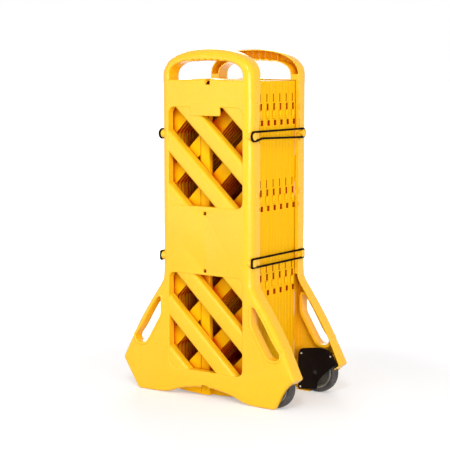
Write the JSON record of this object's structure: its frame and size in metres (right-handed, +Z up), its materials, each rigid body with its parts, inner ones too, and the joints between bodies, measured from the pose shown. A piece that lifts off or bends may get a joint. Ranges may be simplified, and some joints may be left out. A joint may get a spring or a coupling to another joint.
{
  "type": "expandable safety barrier",
  "caption": "Folding yellow plastic safety barrier: grille panels hinged in a concertina between two wheeled end frames with carrying handles.",
  "frame": {"origin": "on the floor, at the middle of the folded barrier", "axes": "+Z up, -Y out of the front end frame's face, +X towards the side with the wheels"},
  "size_m": [0.61, 0.305, 1.016],
  "materials": {
    "frame_plastic": "satin moulded yellow plastic",
    "panel_plastic": "satin moulded yellow plastic",
    "black_plastic": "matte black plastic",
    "hub_plastic": "matte grey plastic",
    "tyre": "matte grey rubber",
    "elastic_cord": "black woven elastic cord",
    "steel": "zinc-plated steel"
  },
  "bodies": {
    "front_frame": {"front_frame": "frame_plastic", "front_axle": "steel", "front_wheel_cover": "black_plastic", "front_cover_screw_1": "steel", "front_cover_screw_2": "steel", "front_cover_screw_3": "steel", "front_top_centre_pin": "steel", "front_middle_centre_pin": "steel", "front_bottom_centre_pin": "steel", "front_upper_right_button": "frame_plastic", "front_lower_right_button": "frame_plastic", "front_upper_left_button": "frame_plastic", "front_lower_left_button": "frame_plastic", "upper_right_loop": "elastic_cord", "lower_right_loop": "elastic_cord", "upper_left_loop": "elastic_cord", "lower_left_loop": "elastic_cord"},
    "front_wheel": {"front_tyre": "tyre", "front_hub": "hub_plastic"},
    "front_half_panel": {"front_half_panel": "panel_plastic"},
    "panel_01": {"panel_01": "panel_plastic"},
    "panel_02": {"panel_02": "panel_plastic"},
    "panel_03": {"panel_03": "panel_plastic"},
    "panel_04": {"panel_04": "panel_plastic"},
    "panel_05": {"panel_05": "panel_plastic"},
    "panel_06": {"panel_06": "panel_plastic"},
    "panel_07": {"panel_07": "panel_plastic"},
    "panel_08": {"panel_08": "panel_plastic"},
    "panel_09": {"panel_09": "panel_plastic"},
    "panel_10": {"panel_10": "panel_plastic"},
    "panel_11": {"panel_11": "panel_plastic"},
    "panel_12": {"panel_12": "panel_plastic"},
    "rear_half_panel": {"rear_half_panel": "panel_plastic"},
    "rear_frame": {"rear_frame": "frame_plastic", "rear_axle": "steel", "rear_wheel_cover": "black_plastic", "rear_cover_screw_1": "steel", "rear_cover_screw_2": "steel", "rear_cover_screw_3": "steel", "rear_top_centre_pin": "steel", "rear_middle_centre_pin": "steel", "rear_bottom_centre_pin": "steel", "rear_upper_right_button": "frame_plastic", "rear_lower_right_button": "frame_plastic", "rear_upper_left_button": "frame_plastic", "rear_lower_left_button": "frame_plastic"},
    "rear_wheel": {"rear_tyre": "tyre", "rear_hub": "hub_plastic"}
  },
  "joints": [
    {"name": "unfold", "type": "hinge", "parent": "front_frame", "child": "front_half_panel", "pos_m": [0, -0.11104, 0], "axis": [0, 0, -1], "range_deg": [0, 80], "deforming": ["upper_right_loop", "lower_right_loop", "upper_left_loop", "lower_left_loop"]},
    {"name": "fold_01", "type": "hinge", "parent": "front_half_panel", "child": "panel_01", "pos_m": [-0.147, -0.1025, 0], "axis": [0, 0, 1], "range_deg": [0, 160]},
    {"name": "fold_02", "type": "hinge", "parent": "panel_01", "child": "panel_02", "pos_m": [0.147, -0.08542, 0], "axis": [0, 0, -1], "range_deg": [0, 160]},
    {"name": "fold_03", "type": "hinge", "parent": "panel_02", "child": "panel_03", "pos_m": [-0.147, -0.06833, 0], "axis": [0, 0, 1], "range_deg": [0, 160]},
    {"name": "fold_04", "type": "hinge", "parent": "panel_03", "child": "panel_04", "pos_m": [0.147, -0.05125, 0], "axis": [0, 0, -1], "range_deg": [0, 160]},
    {"name": "fold_05", "type": "hinge", "parent": "panel_04", "child": "panel_05", "pos_m": [-0.147, -0.03417, 0], "axis": [0, 0, 1], "range_deg": [0, 160]},
    {"name": "fold_06", "type": "hinge", "parent": "panel_05", "child": "panel_06", "pos_m": [0.147, -0.01708, 0], "axis": [0, 0, -1], "range_deg": [0, 160]},
    {"name": "fold_07", "type": "hinge", "parent": "panel_06", "child": "panel_07", "pos_m": [-0.147, 0, 0], "axis": [0, 0, 1], "range_deg": [0, 160]},
    {"name": "fold_08", "type": "hinge", "parent": "panel_07", "child": "panel_08", "pos_m": [0.147, 0.01708, 0], "axis": [0, 0, -1], "range_deg": [0, 160]},
    {"name": "fold_09", "type": "hinge", "parent": "panel_08", "child": "panel_09", "pos_m": [-0.147, 0.03417, 0], "axis": [0, 0, 1], "range_deg": [0, 160]},
    {"name": "fold_10", "type": "hinge", "parent": "panel_09", "child": "panel_10", "pos_m": [0.147, 0.05125, 0], "axis": [0, 0, -1], "range_deg": [0, 160]},
    {"name": "fold_11", "type": "hinge", "parent": "panel_10", "child": "panel_11", "pos_m": [-0.147, 0.06833, 0], "axis": [0, 0, 1], "range_deg": [0, 160]},
    {"name": "fold_12", "type": "hinge", "parent": "panel_11", "child": "panel_12", "pos_m": [0.147, 0.08542, 0], "axis": [0, 0, -1], "range_deg": [0, 160]},
    {"name": "fold_13", "type": "hinge", "parent": "panel_12", "child": "rear_half_panel", "pos_m": [-0.147, 0.1025, 0], "axis": [0, 0, 1], "range_deg": [0, 160]},
    {"name": "rear_turn", "type": "hinge", "parent": "rear_half_panel", "child": "rear_frame", "pos_m": [0, 0.11104, 0], "axis": [0, 0, -1], "range_deg": [0, 80]},
    {"name": "front_wheel_roll", "type": "hinge", "parent": "front_frame", "child": "front_wheel", "pos_m": [0.223, -0.1205, 0.062], "axis": [0, 1, 0], "continuous": true},
    {"name": "rear_wheel_roll", "type": "hinge", "parent": "rear_frame", "child": "rear_wheel", "pos_m": [0.223, 0.1205, 0.062], "axis": [0, 1, 0], "continuous": true}
  ],
  "couplings": [
    {"joint": "fold_01", "follows": "unfold", "ratio": 2},
    {"joint": "fold_02", "follows": "unfold", "ratio": 2},
    {"joint": "fold_03", "follows": "unfold", "ratio": 2},
    {"joint": "fold_04", "follows": "unfold", "ratio": 2},
    {"joint": "fold_05", "follows": "unfold", "ratio": 2},
    {"joint": "fold_06", "follows": "unfold", "ratio": 2},
    {"joint": "fold_07", "follows": "unfold", "ratio": 2},
    {"joint": "fold_08", "follows": "unfold", "ratio": 2},
    {"joint": "fold_09", "follows": "unfold", "ratio": 2},
    {"joint": "fold_10", "follows": "unfold", "ratio": 2},
    {"joint": "fold_11", "follows": "unfold", "ratio": 2},
    {"joint": "fold_12", "follows": "unfold", "ratio": 2},
    {"joint": "fold_13", "follows": "unfold", "ratio": 2},
    {"joint": "rear_turn", "follows": "unfold", "ratio": 1}
  ]
}
